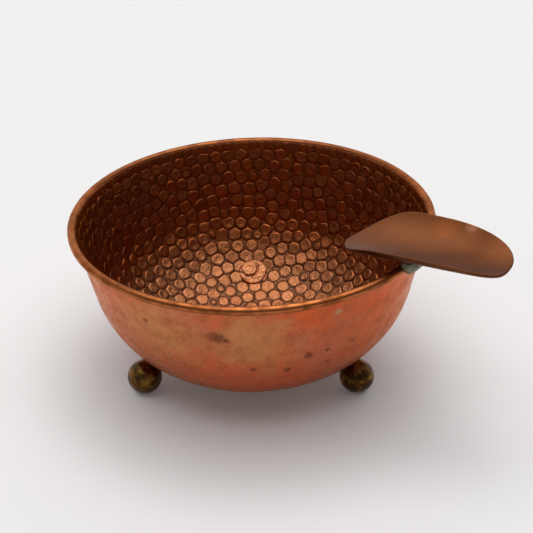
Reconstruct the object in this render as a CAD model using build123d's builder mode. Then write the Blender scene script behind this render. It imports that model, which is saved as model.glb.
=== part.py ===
from build123d import *
import os
from math import cos, sin, hypot, radians, sqrt

# A small raised copper bowl on three ball feet, with a cigar rest soldered over its rolled rim.
# The origin is on the table under the bowl's centre. +Z is up and +X points along the cigar rest.
# Units are millimetres and degrees.

# %% Driving dimensions

# The bowl: one sheet of copper, raised to a round-bottomed pan and rolled over a wire at its rim.
rim_diameter = 108.0       # over the rolled rim
bowl_depth = 47.1          # from the plane of the rim wire down to the outside of the base
sheet = 0.7                # thickness of the copper
wall_flare = 14.5          # the wall opens outwards by this angle from upright
haunch_radius = 33.4       # outside radius where the wall turns into the base
base_radius = 80.0         # outside radius of the dished base
wire_diameter = 1.0        # the wire inside the rolled rim
wire_clearance = 0.02      # between the wire and the copper rolled round it
roll_end = -120.0          # direction, seen from the wire, in which the rolled edge ends
lean = 1.9                 # the rim stands this much higher on the side of the cigar rest
ground_clearance = 1.5     # from the table to the lowest point of the base

# The feet: brass balls, each riveted through the haunch.
foot_count = 3
ball_diameter = 10.3
ball_flat_diameter = 2.4   # worn flat where the ball meets the table
collar_diameter = 5.6      # ring of hard solder between the ball and the bowl
collar_gap = 0.4           # from the ball to the bowl, along the rivet
shank_diameter = 2.4
shank_clearance = 0.05     # round the shank, in the bowl, the collar and the ball
shank_in_ball = 4.0        # how far the shank goes into the ball
bore_spare = 0.3           # empty end of the bore, past the shank
head_diameter = 7.6        # the peened end, inside the bowl
head_height = 1.2
head_dome = 0.5            # how much of the height is the dome

# The cigar rest: a tongue of thicker sheet, bent to a gutter, laid across the rim.
rest_length = 49.7
rest_inside = 21.4         # how much of the length lies inside the rim wire
rest_width = 26.5          # at its widest, over the edges
rest_belly = 17.1          # from the inner tip to the widest place
rest_end_fullness = 2.9    # power of the outer end's curve: 2 is an ellipse, more is squarer
rest_sheet = 0.9
rest_bend_radius = 19.6    # outside radius of the gutter
rest_slope = 5.0           # it rises outwards by this angle
rest_gap = 0.05            # solder film between the gutter and the rim

# The lump of soft solder that holds the rest on the rim.
solder_length = 17.0       # along the rim
solder_width = 6.0         # across the rim, and its height
solder_sink = 0.3          # how far its middle lies below the underside of the rest
solder_outward = 1.3       # how far its middle lies outside the rim wire

# %% Sizes that follow from them

wire_radius = wire_diameter / 2
roll_inside = wire_radius + wire_clearance
bead_radius = roll_inside + sheet
rim_radius = rim_diameter / 2 - bead_radius
ball_radius = ball_diameter / 2
ball_height = sqrt(ball_radius**2 - (ball_flat_diameter / 2) ** 2)
bowl_wall_end = 180 - wall_flare
rim_height = ground_clearance + base_radius - (base_radius - bowl_depth) * cos(radians(lean))

# The bowl's own plane lies in its rim wire, and its z is the bowl's axis, which leans.
bowl_plane = Plane(
    origin=(0, 0, rim_height),
    x_dir=(cos(radians(lean)), 0, sin(radians(lean))),
    z_dir=(-sin(radians(lean)), 0, cos(radians(lean))),
)
bowl_axis = Axis(bowl_plane.origin, bowl_plane.z_dir)
section_plane = Plane(origin=bowl_plane.origin, x_dir=bowl_plane.x_dir, z_dir=(0, -1, 0))

# The section is drawn with x outwards from the axis and y up from the rim wire.
wall_up = Vector(sin(radians(wall_flare)), cos(radians(wall_flare)))
wall_in = Vector(-cos(radians(wall_flare)), sin(radians(wall_flare)))
wire_centre = Vector(rim_radius, 0)
base_centre = Vector(0, base_radius - bowl_depth)


def haunch_centre_from(radius):
    """The point that is `radius` in from the wall's outside line and also
    base_radius - radius from the base's centre, so that both joints are tangent."""
    start = wire_centre + wall_in * (roll_inside + radius)
    offset = start - base_centre
    along = offset.dot(wall_up)
    across = offset.dot(offset) - (base_radius - radius) ** 2
    return start + wall_up * (-along - sqrt(along**2 - across))


haunch_centre = haunch_centre_from(haunch_radius)
base_end = (haunch_centre - base_centre).normalized()


def gap_to_section(point):
    """How far a point of the section is outside the copper, and the shortest way in.
    The nearest copper is on the base, the haunch or the wall, by the side of the
    lines between them that the point is on."""
    from_base = point - base_centre
    from_haunch = point - haunch_centre
    if base_end.X * from_base.Y < base_end.Y * from_base.X:
        return from_base.length - base_radius, -from_base.normalized()
    if from_haunch.dot(wall_up) > 0:
        return -wall_in.dot(point - wire_centre) + roll_inside, wall_in
    return from_haunch.length - haunch_radius, -from_haunch.normalized()


def foot_plane_at(bearing):
    """A plane at the ball's centre, with z pointing into the bowl along the rivet.
    The ball rests on the table and stands collar_gap clear of the copper. The bowl
    leans, so the ball's distance from the origin is found by halving an interval."""
    near, far = 0.0, rim_diameter
    for _ in range(60):
        middle = (near + far) / 2
        centre = Vector(middle * cos(radians(bearing)), middle * sin(radians(bearing)), ball_height)
        local = bowl_plane.to_local_coords(centre)
        gap, way_in = gap_to_section(Vector(hypot(local.X, local.Y), local.Z))
        if gap < collar_gap + ball_radius:
            near = middle
        else:
            far = middle
    ring = Vector(local.X, local.Y).normalized() * way_in.X
    tip = bowl_plane.from_local_coords(local + Vector(ring.X, ring.Y, way_in.Y))
    return Plane(origin=centre, z_dir=tip - centre)


foot_planes = [foot_plane_at(360 / foot_count * i) for i in range(foot_count)]

# Heights along a foot plane's z, from the ball's centre
seat_height = ball_radius + collar_gap       # to the outside of the bowl
seat_inside = seat_height + sheet            # to its inside
shank_end = ball_radius - shank_in_ball      # to the end of the rivet
shank_radius = shank_diameter / 2
shank_hole_radius = shank_radius + shank_clearance

# The rest's plane touches the top of the rim roll. Its x runs up the keel and its z is square to it.
rim_top = bowl_plane.from_local_coords(Vector(rim_radius, 0, 0))
rest_up = Vector(-sin(radians(rest_slope)), 0, cos(radians(rest_slope)))
rest_plane = Plane(
    origin=rim_top + rest_up * (bead_radius + rest_gap),
    x_dir=(cos(radians(rest_slope)), 0, sin(radians(rest_slope))),
    z_dir=rest_up,
)

# %% The bowl


def bowl_section(inner):
    """Half of the bowl's section, from the axis to the wall's end at the wire.
    `inner` is 0 for the outside of the copper and `sheet` for the inside."""
    foot_of_wall = haunch_centre - wall_in * (haunch_radius - inner)
    end_of_base = base_centre + base_end * (base_radius - inner)
    base_mid = base_centre + Vector(base_end.X, base_end.Y - 1).normalized() * (base_radius - inner)
    haunch_mid = haunch_centre + (base_end - wall_in).normalized() * (haunch_radius - inner)
    bottom = base_centre - Vector(0, base_radius - inner)
    ThreePointArc(bottom, base_mid, end_of_base)
    ThreePointArc(end_of_base, haunch_mid, foot_of_wall)
    Line(foot_of_wall, wire_centre + wall_in * (roll_inside + inner))
    return bottom


with BuildPart() as bowl_blank:
    with BuildSketch(section_plane):
        with BuildLine():
            outside_bottom = bowl_section(0)
            inside_bottom = bowl_section(sheet)
            roll_turn = roll_end - bowl_wall_end
            roll_in = CenterArc(wire_centre, roll_inside, bowl_wall_end, roll_turn)
            roll_out = CenterArc(wire_centre, bead_radius, bowl_wall_end, roll_turn)
            Line(roll_in @ 1, roll_out @ 1)
            Line(outside_bottom, inside_bottom)
        make_face()
    revolve(axis=bowl_axis)


def along_rivet(plane, radius, start, end, mode=Mode.ADD):
    """A round bar or hole on a foot's plane, between two distances from the ball's centre."""
    with Locations(plane.offset(start).location):
        Cylinder(radius, end - start, align=(Align.CENTER, Align.CENTER, Align.MIN), mode=mode)


with BuildPart() as bowl:
    add(bowl_blank.part)
    for plane in foot_planes:
        along_rivet(plane, shank_hole_radius, ball_radius, seat_inside + sheet, Mode.SUBTRACT)

# %% The wire in the rim

with BuildPart() as rim_wire:
    with Locations(bowl_plane.location):
        Torus(rim_radius, wire_radius)

# %% The feet: for each a ball, a collar of hard solder, and a rivet

pieces = {"bowl": bowl, "rim_wire": rim_wire}
for number, plane in enumerate(foot_planes, start=1):
    with BuildPart() as ball_foot:
        with Locations(plane.origin):
            Sphere(ball_radius)
        along_rivet(plane, shank_hole_radius, shank_end - bore_spare, seat_height, Mode.SUBTRACT)
        split(bisect_by=Plane.XY, keep=Keep.TOP)

    with BuildPart() as foot_collar:
        along_rivet(plane, collar_diameter / 2, 0, seat_height + sheet / 2)
        with Locations(plane.origin):
            Sphere(ball_radius, mode=Mode.SUBTRACT)
        add(bowl_blank.part, mode=Mode.SUBTRACT)
        along_rivet(plane, shank_hole_radius, 0, seat_inside, Mode.SUBTRACT)

    # The head is a low dome. Its underside is trimmed to the curve of the copper.
    with BuildPart() as foot_rivet:
        with BuildSketch(Plane(origin=plane.origin, x_dir=plane.x_dir, z_dir=-plane.y_dir)):
            with BuildLine():
                root = (0, seat_inside - sheet / 2)
                crown = (0, seat_inside + head_height)
                shoulder = (head_diameter / 2, seat_inside + head_height - head_dome)
                Polyline(crown, root, (head_diameter / 2, seat_inside - sheet / 2), shoulder)
                TangentArc(crown, shoulder, tangent=(1, 0))
            make_face()
        revolve(axis=Axis(plane.origin, plane.z_dir))
        add(bowl_blank.part, mode=Mode.SUBTRACT)
        along_rivet(plane, shank_radius, shank_end, seat_inside + head_height / 2)

    pieces[f"ball_foot_{number}"] = ball_foot
    pieces[f"foot_collar_{number}"] = foot_collar
    pieces[f"foot_rivet_{number}"] = foot_rivet

# %% The cigar rest: a gutter cut to the outline of a tongue with a pointed inner end

rest_tip = rest_plane.origin - rest_plane.x_dir * rest_inside
gutter_plane = Plane(origin=rest_tip, x_dir=(0, 1, 0), z_dir=rest_plane.x_dir)
tongue_plane = Plane(origin=rest_tip, x_dir=rest_plane.x_dir, z_dir=rest_plane.z_dir)


def end_curve(turn):
    """A point on the outer end, which runs from the belly (90 degrees) to the keel (0 degrees)
    as an ellipse does, but with its cosine and sine raised to a power under 1."""
    power = 2 / rest_end_fullness
    reach = (rest_length - rest_belly) * cos(radians(turn)) ** power
    return rest_belly + reach, rest_width / 2 * sin(radians(turn)) ** power


with BuildPart() as cigar_rest:
    with BuildSketch(gutter_plane):
        with Locations((0, rest_bend_radius)):
            Circle(rest_bend_radius)
            Circle(rest_bend_radius - rest_sheet, mode=Mode.SUBTRACT)
    extrude(amount=rest_length)
    with BuildSketch(tongue_plane):
        with BuildLine():
            belly = (rest_belly, rest_width / 2)
            TangentArc(belly, (0, 0), tangent=(-1, 0))
            Spline(*[end_curve(turn) for turn in (90, 70, 50, 30, 10, 0)], tangents=[(1, 0), (0, -1)])
            mirror(about=Plane.XZ)
        make_face()
    extrude(amount=rest_bend_radius, mode=Mode.INTERSECT)
pieces["cigar_rest"] = cigar_rest

# %% The solder: a lump squeezed between the rim and the gutter

lump_centre = rest_plane.origin + rest_plane.x_dir * solder_outward - rest_plane.z_dir * solder_sink
lump_plane = Plane(origin=lump_centre, x_dir=(0, 1, 0), z_dir=rest_plane.z_dir)

with BuildPart() as rest_solder:
    with BuildSketch(lump_plane):
        SlotOverall(solder_length, solder_width)
        Rectangle(solder_length, solder_width, align=(Align.CENTER, Align.MIN), mode=Mode.INTERSECT)
    revolve(axis=Axis(lump_centre, (0, 1, 0)))
    add(bowl_blank.part, mode=Mode.SUBTRACT)
    with Locations(bowl_plane.location):
        Torus(rim_radius, bead_radius, mode=Mode.SUBTRACT)
    with Locations(gutter_plane.offset(rest_inside).location):
        with Locations((0, rest_bend_radius, 0)):
            Cylinder(rest_bend_radius + rest_gap, 2 * solder_width, mode=Mode.SUBTRACT)
pieces["rest_solder"] = rest_solder

# %% Write each piece to its own file

os.makedirs("parts", exist_ok=True)
for name, piece in pieces.items():
    piece.part.label = name
    export_step(piece.part, f"parts/{name}.step")
    print(f"{name}: {piece.part.volume:.1f} mm3")
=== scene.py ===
# %% [markdown]
# # A hammered copper bowl with a cigar rest
#
# The object is a small bowl, raised by hand from one round sheet of copper and rolled over a
# wire at its rim. It stands on three brass balls, and a leaf of thicker copper is soldered
# across the rim to hold a cigar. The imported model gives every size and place, so it is loaded
# first and left as it is. What is added here is the surface that a hammer and the years leave.

import bpy
import numpy as np
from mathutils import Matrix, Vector
from mathutils.geometry import delaunay_2d_cdt


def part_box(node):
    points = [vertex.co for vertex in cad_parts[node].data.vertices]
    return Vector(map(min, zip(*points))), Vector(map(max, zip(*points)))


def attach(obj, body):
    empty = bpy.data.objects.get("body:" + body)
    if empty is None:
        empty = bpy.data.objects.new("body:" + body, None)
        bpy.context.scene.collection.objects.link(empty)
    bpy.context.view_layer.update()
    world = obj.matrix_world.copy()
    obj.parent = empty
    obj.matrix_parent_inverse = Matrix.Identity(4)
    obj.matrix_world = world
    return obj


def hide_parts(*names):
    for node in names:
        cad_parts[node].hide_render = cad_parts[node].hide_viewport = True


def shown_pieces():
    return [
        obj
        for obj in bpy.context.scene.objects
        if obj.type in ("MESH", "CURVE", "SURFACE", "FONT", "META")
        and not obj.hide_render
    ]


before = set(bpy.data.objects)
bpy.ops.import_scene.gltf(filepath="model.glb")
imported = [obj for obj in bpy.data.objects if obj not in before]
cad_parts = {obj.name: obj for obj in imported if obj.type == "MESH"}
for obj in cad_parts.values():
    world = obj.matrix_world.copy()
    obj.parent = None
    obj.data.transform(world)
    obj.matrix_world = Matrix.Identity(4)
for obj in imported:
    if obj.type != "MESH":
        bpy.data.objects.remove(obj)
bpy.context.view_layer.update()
print("nodes:", ", ".join(sorted(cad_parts)))

# %% [markdown]
# ## Arrays into meshes
#
# Every new piece is worked out as an array of points, in millimetres, and arrays of faces.
# One helper turns them into an object at the origin, which rides on the body and stands for
# the node it replaces. A second makes the faces of a grid that closes on itself, as a lathe's
# surface does, and a third closes such a grid with a fan of triangles round its pole.

# %% Helpers for meshes
MM = 0.001
rng = np.random.default_rng(23)


def enclosed_volume(points, faces):
    """The volume inside a closed surface: a sixth of the triple product of each triangle's
    corners, added up. It is negative where the faces point inwards."""
    volume = 0.0
    for block in faces:
        for second in range(1, block.shape[1] - 1):
            corners = points[block[:, 0]], points[block[:, second]], points[block[:, second + 1]]
            volume += (corners[0] * np.cross(corners[1], corners[2])).sum() / 6
    return volume


def new_piece(name, points, faces, nodes):
    """A smooth-shaded mesh object from points in millimetres and arrays of 3 or 4 corners. Its
    faces are turned over if they point inwards."""
    if enclosed_volume(points, faces) < 0:
        faces = [block[:, ::-1] for block in faces]
    corners = np.concatenate([np.ravel(block) for block in faces]).astype(np.int32)
    sizes = np.concatenate([np.full(len(block), block.shape[1]) for block in faces])
    mesh = bpy.data.meshes.new(name)
    mesh.vertices.add(len(points))
    mesh.vertices.foreach_set("co", np.ravel(points * MM).astype(np.float32))
    mesh.loops.add(len(corners))
    mesh.loops.foreach_set("vertex_index", corners)
    mesh.polygons.add(len(sizes))
    mesh.polygons.foreach_set("loop_start", (np.cumsum(sizes) - sizes).astype(np.int32))
    mesh.update(calc_edges=True)
    mesh.validate()
    mesh.shade_smooth()
    piece = bpy.data.objects.new(name, mesh)
    bpy.context.scene.collection.objects.link(piece)
    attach(piece, "root")
    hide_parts(*nodes)
    volume = enclosed_volume(points, faces)
    print(name, "has", int((sizes - 2).sum()), "triangles and encloses", round(volume, 1), "cubic mm")
    return piece


def grid_faces(rows, columns, first=0):
    """Faces of a grid whose last column joins its first. Point (row, column) has the number
    first + row * columns + column. They face the way that rows x columns points."""
    row, column = np.meshgrid(np.arange(rows - 1), np.arange(columns), indexing="ij")
    here = first + row * columns + column
    beside = first + row * columns + (column + 1) % columns
    return np.stack([here, here + columns, beside + columns, beside], axis=-1).reshape(-1, 4)


def pole_faces(pole, ring, opening):
    """Triangles from a pole to a ring of points. `opening` is True where rows lead away from it."""
    around = np.roll(ring, -1)
    order = [np.full(len(ring), pole), ring, around] if opening else [ring, np.full(len(ring), pole), around]
    return np.stack(order, axis=-1)


def closed_piece_faces(rows, columns):
    """Faces of a closed grid: point 0 is the first pole, then come the rows, then the last pole."""
    last = 1 + rows * columns
    first_ring = 1 + np.arange(columns)
    last_ring = first_ring + (rows - 1) * columns
    return [
        grid_faces(rows, columns, 1),
        pole_faces(0, first_ring, True),
        pole_faces(last, last_ring, False),
    ]


def unit(vectors):
    """The same directions with a length of one."""
    return vectors / np.linalg.norm(vectors, axis=-1, keepdims=True)


def ripple(points, wavelength, seed, waves=9):
    """A smooth random height between about -1 and 1 at each point: a sum of sine waves, each
    in a random direction, of about that wavelength in millimetres."""
    draw = np.random.default_rng(seed)
    directions = unit(draw.normal(size=(waves, 3)))
    lengths = wavelength * draw.uniform(0.75, 1.5, waves)
    phases = draw.uniform(0, 2 * np.pi, waves)
    turns = points @ (directions / lengths[:, None]).T * 2 * np.pi + phases
    return np.sin(turns).sum(axis=-1) * (1.6 / waves)


def smooth_step(value, start, end):
    """0 before start, 1 after end, and an S-curve between them."""
    part = np.clip((value - start) / (end - start), 0, 1)
    return part * part * (3 - 2 * part)


# %% [markdown]
# ## The bowl's section
#
# The bowl is a surface of revolution before the hammer marks are put on it: a shallow base, a
# round haunch and a straight wall that flares a little, all joined smoothly. Its section is
# the same one that the model was drawn with. A length along the outside of the copper finds
# the point, and the thickness is laid off square to it, so inside and outside stay parallel.

# %% Sizes of the bowl
rim_radius = 52.78          # to the middle of the wire in the rim
sheet = 0.7
roll_inside = 0.52          # the copper is rolled round this
bead_radius = roll_inside + sheet
base_radius = 80.0
haunch_radius = 33.4
bowl_depth = 47.1
flare_degrees = 14.5        # of the wall from upright
wall_flare = np.radians(flare_degrees)
lean = np.radians(1.9)      # the rim is higher on the side of the rest
ground_gap = 1.5            # from the table to the lowest copper
rim_height = ground_gap + base_radius - (base_radius - bowl_depth) * np.cos(lean)

bowl_axes = np.array([[np.cos(lean), 0, np.sin(lean)], [0, 1, 0], [-np.sin(lean), 0, np.cos(lean)]])
bowl_origin = np.array([0, 0, rim_height])

wall_up = np.array([np.sin(wall_flare), np.cos(wall_flare)])
wall_in = np.array([-np.cos(wall_flare), np.sin(wall_flare)])
wire_centre = np.array([rim_radius, 0.0])
base_centre = np.array([0.0, base_radius - bowl_depth])
haunch_start = wire_centre + wall_in * (roll_inside + haunch_radius)
offset = haunch_start - base_centre
along = offset @ wall_up
wall_length = along + np.sqrt(along**2 - offset @ offset + (base_radius - haunch_radius) ** 2)
haunch_centre = haunch_start - wall_up * wall_length
base_turn = np.arctan2(haunch_centre[0], base_centre[1] - haunch_centre[1])
haunch_turn = np.pi / 2 - wall_flare - base_turn
base_length = base_radius * base_turn
haunch_length = haunch_radius * haunch_turn
section_length = base_length + haunch_length + wall_length
print("section", round(section_length, 2), "mm from the middle of the base to the rim")


def section(length):
    """The outside of the copper `length` mm from the middle of the base: round the base's centre,
    then round the haunch's centre, then straight. Gives points and the outward directions."""
    length = np.asarray(length, dtype=float)
    base_part = np.clip(length, 0, base_length) / base_radius
    haunch_part = np.clip(length - base_length, 0, haunch_length) / haunch_radius
    turn = base_part + haunch_part
    outward = np.stack([np.sin(turn), -np.cos(turn)], axis=-1)
    on_base = (length <= base_length)[..., None]
    arcs = np.where(on_base, base_centre + outward * base_radius, haunch_centre + outward * haunch_radius)
    straight = np.clip(length - base_length - haunch_length, 0, None)[..., None]
    return arcs + wall_up * straight, outward


def bowl_to_frame(local):
    """From the bowl's own axes, which lean, to the frame's."""
    return bowl_origin + local @ bowl_axes


def spun(profile, bearing):
    """Turns section points (distance from the axis, height) round the axis to a bearing."""
    return np.stack(
        [profile[..., 0] * np.cos(bearing), profile[..., 0] * np.sin(bearing), profile[..., 1]], axis=-1
    )


# %% [markdown]
# ## Where the hammer fell
#
# The inside of the bowl is covered with about a thousand raised round bosses, each the mark of
# one blow, set in loose rings. Placing them on a curved bowl is easier on a flat map. The map
# used here keeps angles, so a small circle on the copper is a circle on the map. For that, a
# step outwards on the map is to its distance from the middle as the step along the copper is to
# its distance from the axis. Rings of points are laid out, shaken, and then pushed apart until
# few are too close, as a smith's eye does.

# %% The flat map of the inside
outside_steps = np.linspace(0, section_length, 4001)
points, outward = section(outside_steps)
inside_steps = points - sheet * outward
run = np.concatenate([[0], np.cumsum(np.linalg.norm(np.diff(inside_steps, axis=0), axis=1))])
radius_steps = inside_steps[:, 0]
excess = np.zeros_like(run)
excess[1:] = 1 / radius_steps[1:] - 1 / run[1:]
slopes = (excess[1:] + excess[:-1]) / 2 * np.diff(run)
map_steps = run * np.exp(np.concatenate([[0], np.cumsum(slopes)]))
map_rim = map_steps[-1]
inside_length = run[-1]


def map_scale(places):
    """How many map units one millimetre of copper covers at these places on the map."""
    distance = np.maximum(np.linalg.norm(places, axis=-1), 1e-6)
    radius = np.maximum(np.interp(distance, map_steps, radius_steps), 1e-6)
    return np.where(distance < 0.05, 1.0, distance / radius)


def from_map(places, height):
    """Points of the copper's inside for places on the map, raised by `height` square to it."""
    distance = np.linalg.norm(places, axis=-1)
    bearing = np.arctan2(places[..., 1], places[..., 0])
    outer, outward = section(np.interp(distance, map_steps, outside_steps))
    return bowl_to_frame(spun(outer - outward * (sheet + height)[..., None], bearing))


# %% Rings of blows
pitch = 4.32                # from one boss to the next, in millimetres
ring_spacing = 0.88         # of the pitch: rings of round bosses sit in each other's gaps
plain_band = 1.9            # left plain under the rim
rim_distance = 0.43         # of the pitch, from the last blow to the plain band
wander_out, wander_round = 1.1, 1.0
cobble_end = inside_length - plain_band - pitch * rim_distance
ring_count = int(round(cobble_end / (pitch * ring_spacing)))
ring_lengths = np.arange(ring_count + 1) * cobble_end / ring_count
ring_radii = np.interp(ring_lengths, run, radius_steps)
ring_blows = np.maximum(np.round(2 * np.pi * ring_radii / pitch).astype(int), 1)

blow_length = np.repeat(ring_lengths, ring_blows)
blow_order = np.concatenate([np.arange(count) / count for count in ring_blows])
ring_start = np.repeat(rng.uniform(0, 1, len(ring_blows)), ring_blows)
blow_bearing = 2 * np.pi * (blow_order + ring_start)
blow_length = blow_length + rng.normal(0, wander_out, len(blow_length)) * (blow_length > 0)
blow_radius = np.maximum(np.repeat(ring_radii, ring_blows), 1.5)
blow_bearing = blow_bearing + rng.normal(0, wander_round, len(blow_length)) / blow_radius
blow_length = np.clip(blow_length, 0.05, cobble_end)
blow_map = np.interp(blow_length, run, map_steps)
blows = np.stack([blow_map * np.cos(blow_bearing), blow_map * np.sin(blow_bearing)], axis=-1)


def pushed_apart(places, reach, strength, rounds):
    """Places moved away from every neighbour that is closer than `reach` mm, a few times over.
    None crosses the edge of the plain band."""
    limit = np.interp(cobble_end, run, map_steps)
    for _ in range(rounds):
        scale = map_scale(places)
        apart = places[:, None, :] - places[None, :, :]
        distance = np.linalg.norm(apart, axis=-1) / np.sqrt(scale[:, None] * scale[None, :])
        np.fill_diagonal(distance, reach)
        push = np.clip(reach - distance, 0, None) / np.maximum(distance, 0.1)
        places = places + strength * (apart * push[..., None]).sum(axis=1)
        size = np.linalg.norm(places, axis=-1, keepdims=True)
        places = places * np.minimum(1, limit / np.maximum(size, 1e-9))
    return places


blows = pushed_apart(blows, reach=pitch * 0.98, strength=0.20, rounds=16)
print(len(blows), "blows in", ring_count + 1, "rings")

# %% [markdown]
# ## From blows to bosses
#
# Each boss keeps the ground that is nearer to it than to any other blow, as the cells of a
# honeycomb do. The triangles of a Delaunay net between the blows give those cells: the centre of
# the circle through a triangle's corners is where three cells meet. A row of regular places
# above the bosses, and their mirror images beyond the rim, end the pattern in an even edge that
# the rolled rim can join. Small extra blows go where the gaps between the others are widest.

# %% The net of cells
band_count = 120
band_bearing = 2 * np.pi * np.arange(band_count) / band_count
band_map = np.interp(inside_length - plain_band * 0.47, run, map_steps)
band = band_map * np.stack([np.cos(band_bearing), np.sin(band_bearing)], axis=-1)
mirrored = band * (map_rim / band_map) ** 2


def net_of(places):
    """The Delaunay triangles of the places, and the centre and radius of each one's circle."""
    made = delaunay_2d_cdt(places.tolist(), [], [], 0, 1e-9, False)
    corners = np.array(made[2])
    a, b, c = (places[corners[:, k]] for k in range(3))
    turn = (b - a)[:, 0] * (c - a)[:, 1] - (b - a)[:, 1] * (c - a)[:, 0]
    corners = np.where(turn[:, None] > 0, corners, corners[:, ::-1])
    ab, ac = b - a, c - a
    ab2, ac2 = (ab**2).sum(axis=1), (ac**2).sum(axis=1)
    shift = np.stack([ac[:, 1] * ab2 - ab[:, 1] * ac2, ab[:, 0] * ac2 - ac[:, 0] * ab2], axis=-1)
    shift = shift / (2 * turn)[:, None]
    return corners, a + shift, np.linalg.norm(shift, axis=1)


wide_gap = 3.12             # from the middle of a gap to the blows round it
corners, centres, radii = net_of(np.concatenate([blows, band, mirrored]))
gap = radii / map_scale(centres)
wide = (corners < len(blows)).all(axis=1) & (gap > wide_gap)
wide = wide & (np.linalg.norm(centres, axis=1) < map_rim)
extra = centres[wide][np.argsort(-gap[wide])]
scale = map_scale(extra)
apart = np.linalg.norm(extra[:, None] - extra[None], axis=-1)
apart = apart / np.sqrt(scale[:, None] * scale[None])
first_of_pair = ~(np.tril(apart < 3.0, -1).any(axis=1))
extra = extra[first_of_pair]
bosses = np.concatenate([blows, extra])
is_small = np.arange(len(bosses)) >= len(blows)
print(len(extra), "small blows in the widest gaps")

# %% The corners of the cells
sites = np.concatenate([bosses, band, mirrored])
boss_count, cell_count = len(bosses), len(bosses) + band_count
corners, centres, _ = net_of(sites)
beyond = (corners >= cell_count).any(axis=1)
half_step = np.round(np.arctan2(centres[:, 1], centres[:, 0]) / (2 * np.pi) * band_count - 0.5)
corner_id = np.where(beyond, half_step.astype(int) % band_count, 0)
corner_id[~beyond] = band_count + np.arange((~beyond).sum())
rim_bearing = 2 * np.pi * (np.arange(band_count) + 0.5) / band_count
rim_corners = map_rim * np.stack([np.cos(rim_bearing), np.sin(rim_bearing)], axis=-1)
cell_corners = np.concatenate([rim_corners, centres[~beyond]])

# %% The edges of the cells, and the cells on each side
triangle = np.repeat(np.arange(len(corners)), 3)
start_site = corners.ravel()
end_site = np.roll(corners, -1, axis=1).ravel()
low, high = np.minimum(start_site, end_site), np.maximum(start_site, end_site)
order = np.lexsort((triangle, high, low))
low, high, triangle = low[order], high[order], triangle[order]
paired = (low[:-1] == low[1:]) & (high[:-1] == high[1:])
first = np.flatnonzero(paired)
edge_sites = np.stack([low[first], high[first]], axis=-1)
edge_ends = np.stack([corner_id[triangle[first]], corner_id[triangle[first + 1]]], axis=-1)
useful = (edge_sites[:, 0] < cell_count) & (edge_ends[:, 0] != edge_ends[:, 1])
edge_sites, edge_ends = edge_sites[useful], edge_ends[useful]
at_rim = edge_sites[:, 1] >= cell_count
print(cell_count, "cells with", len(edge_sites), "edges,", int(at_rim.sum()), "of them at the rim")

# %% Edges cut into short steps
edge_step = 1.12            # millimetres
start, end = cell_corners[edge_ends[:, 0]], cell_corners[edge_ends[:, 1]]
edge_mm = np.linalg.norm(end - start, axis=1) / map_scale((start + end) / 2)
steps = np.clip(np.round(edge_mm / edge_step), 1, 4).astype(int)
steps[at_rim] = 3
first_between = len(cell_corners) + np.concatenate([[0], np.cumsum(steps - 1)])[:-1]
edge_of = np.repeat(np.arange(len(steps)), steps)
step_of = np.arange(len(edge_of)) - np.repeat(np.cumsum(steps) - steps, steps)


def step_point(edge, step):
    """The number of the point that is `step` steps along an edge."""
    inner = np.where(step == steps[edge], edge_ends[edge, 1], first_between[edge] + step - 1)
    return np.where(step == 0, edge_ends[edge, 0], inner)


segment_start, segment_end = step_point(edge_of, step_of), step_point(edge_of, step_of + 1)
inner_edge = np.repeat(np.arange(len(steps)), steps - 1)
inner_step = 1 + np.arange(len(inner_edge)) - np.repeat(np.cumsum(steps - 1) - (steps - 1), steps - 1)
part = (inner_step / steps[inner_edge])[:, None]
straight = start[inner_edge] * (1 - part) + end[inner_edge] * part
on_rim_edge = at_rim[inner_edge]
bearing_start = np.arctan2(start[inner_edge, 1], start[inner_edge, 0])
bearing_end = np.arctan2(end[inner_edge, 1], end[inner_edge, 0])
swing = (bearing_end - bearing_start + np.pi) % (2 * np.pi) - np.pi
bearing = bearing_start + swing * part[:, 0]
on_rim = map_rim * np.stack([np.cos(bearing), np.sin(bearing)], axis=-1)
border = np.concatenate([cell_corners, np.where(on_rim_edge[:, None], on_rim, straight)])
border_at_rim = np.concatenate([np.arange(len(cell_corners)) < band_count, on_rim_edge])

# %% [markdown]
# ## Raising the bosses
#
# From the middle of each cell, spokes run to its border, and each spoke carries the same few
# steps: the flat top, its rounded edge, the foot, and the floor of the groove. The top is round
# where there is room, and follows the border where there isn't, so crowded bosses press flat
# sides together. No two are alike: each has its own size, height, tilt and dish. Near the rivets
# they are beaten down. The map then carries all of it onto the bowl.

# %% Spokes
segment_cells = edge_sites[edge_of]
cell = np.concatenate([segment_cells[:, 0], segment_cells[:, 1]])
point_a = np.concatenate([segment_start, segment_end])
point_b = np.concatenate([segment_end, segment_start])
kept = cell < cell_count
cell, point_a, point_b = cell[kept], point_a[kept], point_b[kept]
arm_a, arm_b = border[point_a] - sites[cell], border[point_b] - sites[cell]
clockwise = arm_a[:, 0] * arm_b[:, 1] - arm_a[:, 1] * arm_b[:, 0] < 0
point_a, point_b = np.where(clockwise, point_b, point_a), np.where(clockwise, point_a, point_b)
keys, spoke_number = np.unique(
    np.concatenate([cell * len(border) + point_a, cell * len(border) + point_b]), return_inverse=True
)
spoke_a, spoke_b = spoke_number[: len(cell)], spoke_number[len(cell) :]
spoke_cell, spoke_point = keys // len(border), keys % len(border)
print(len(keys), "spokes,", round(len(keys) / cell_count, 1), "for each cell")

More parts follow.
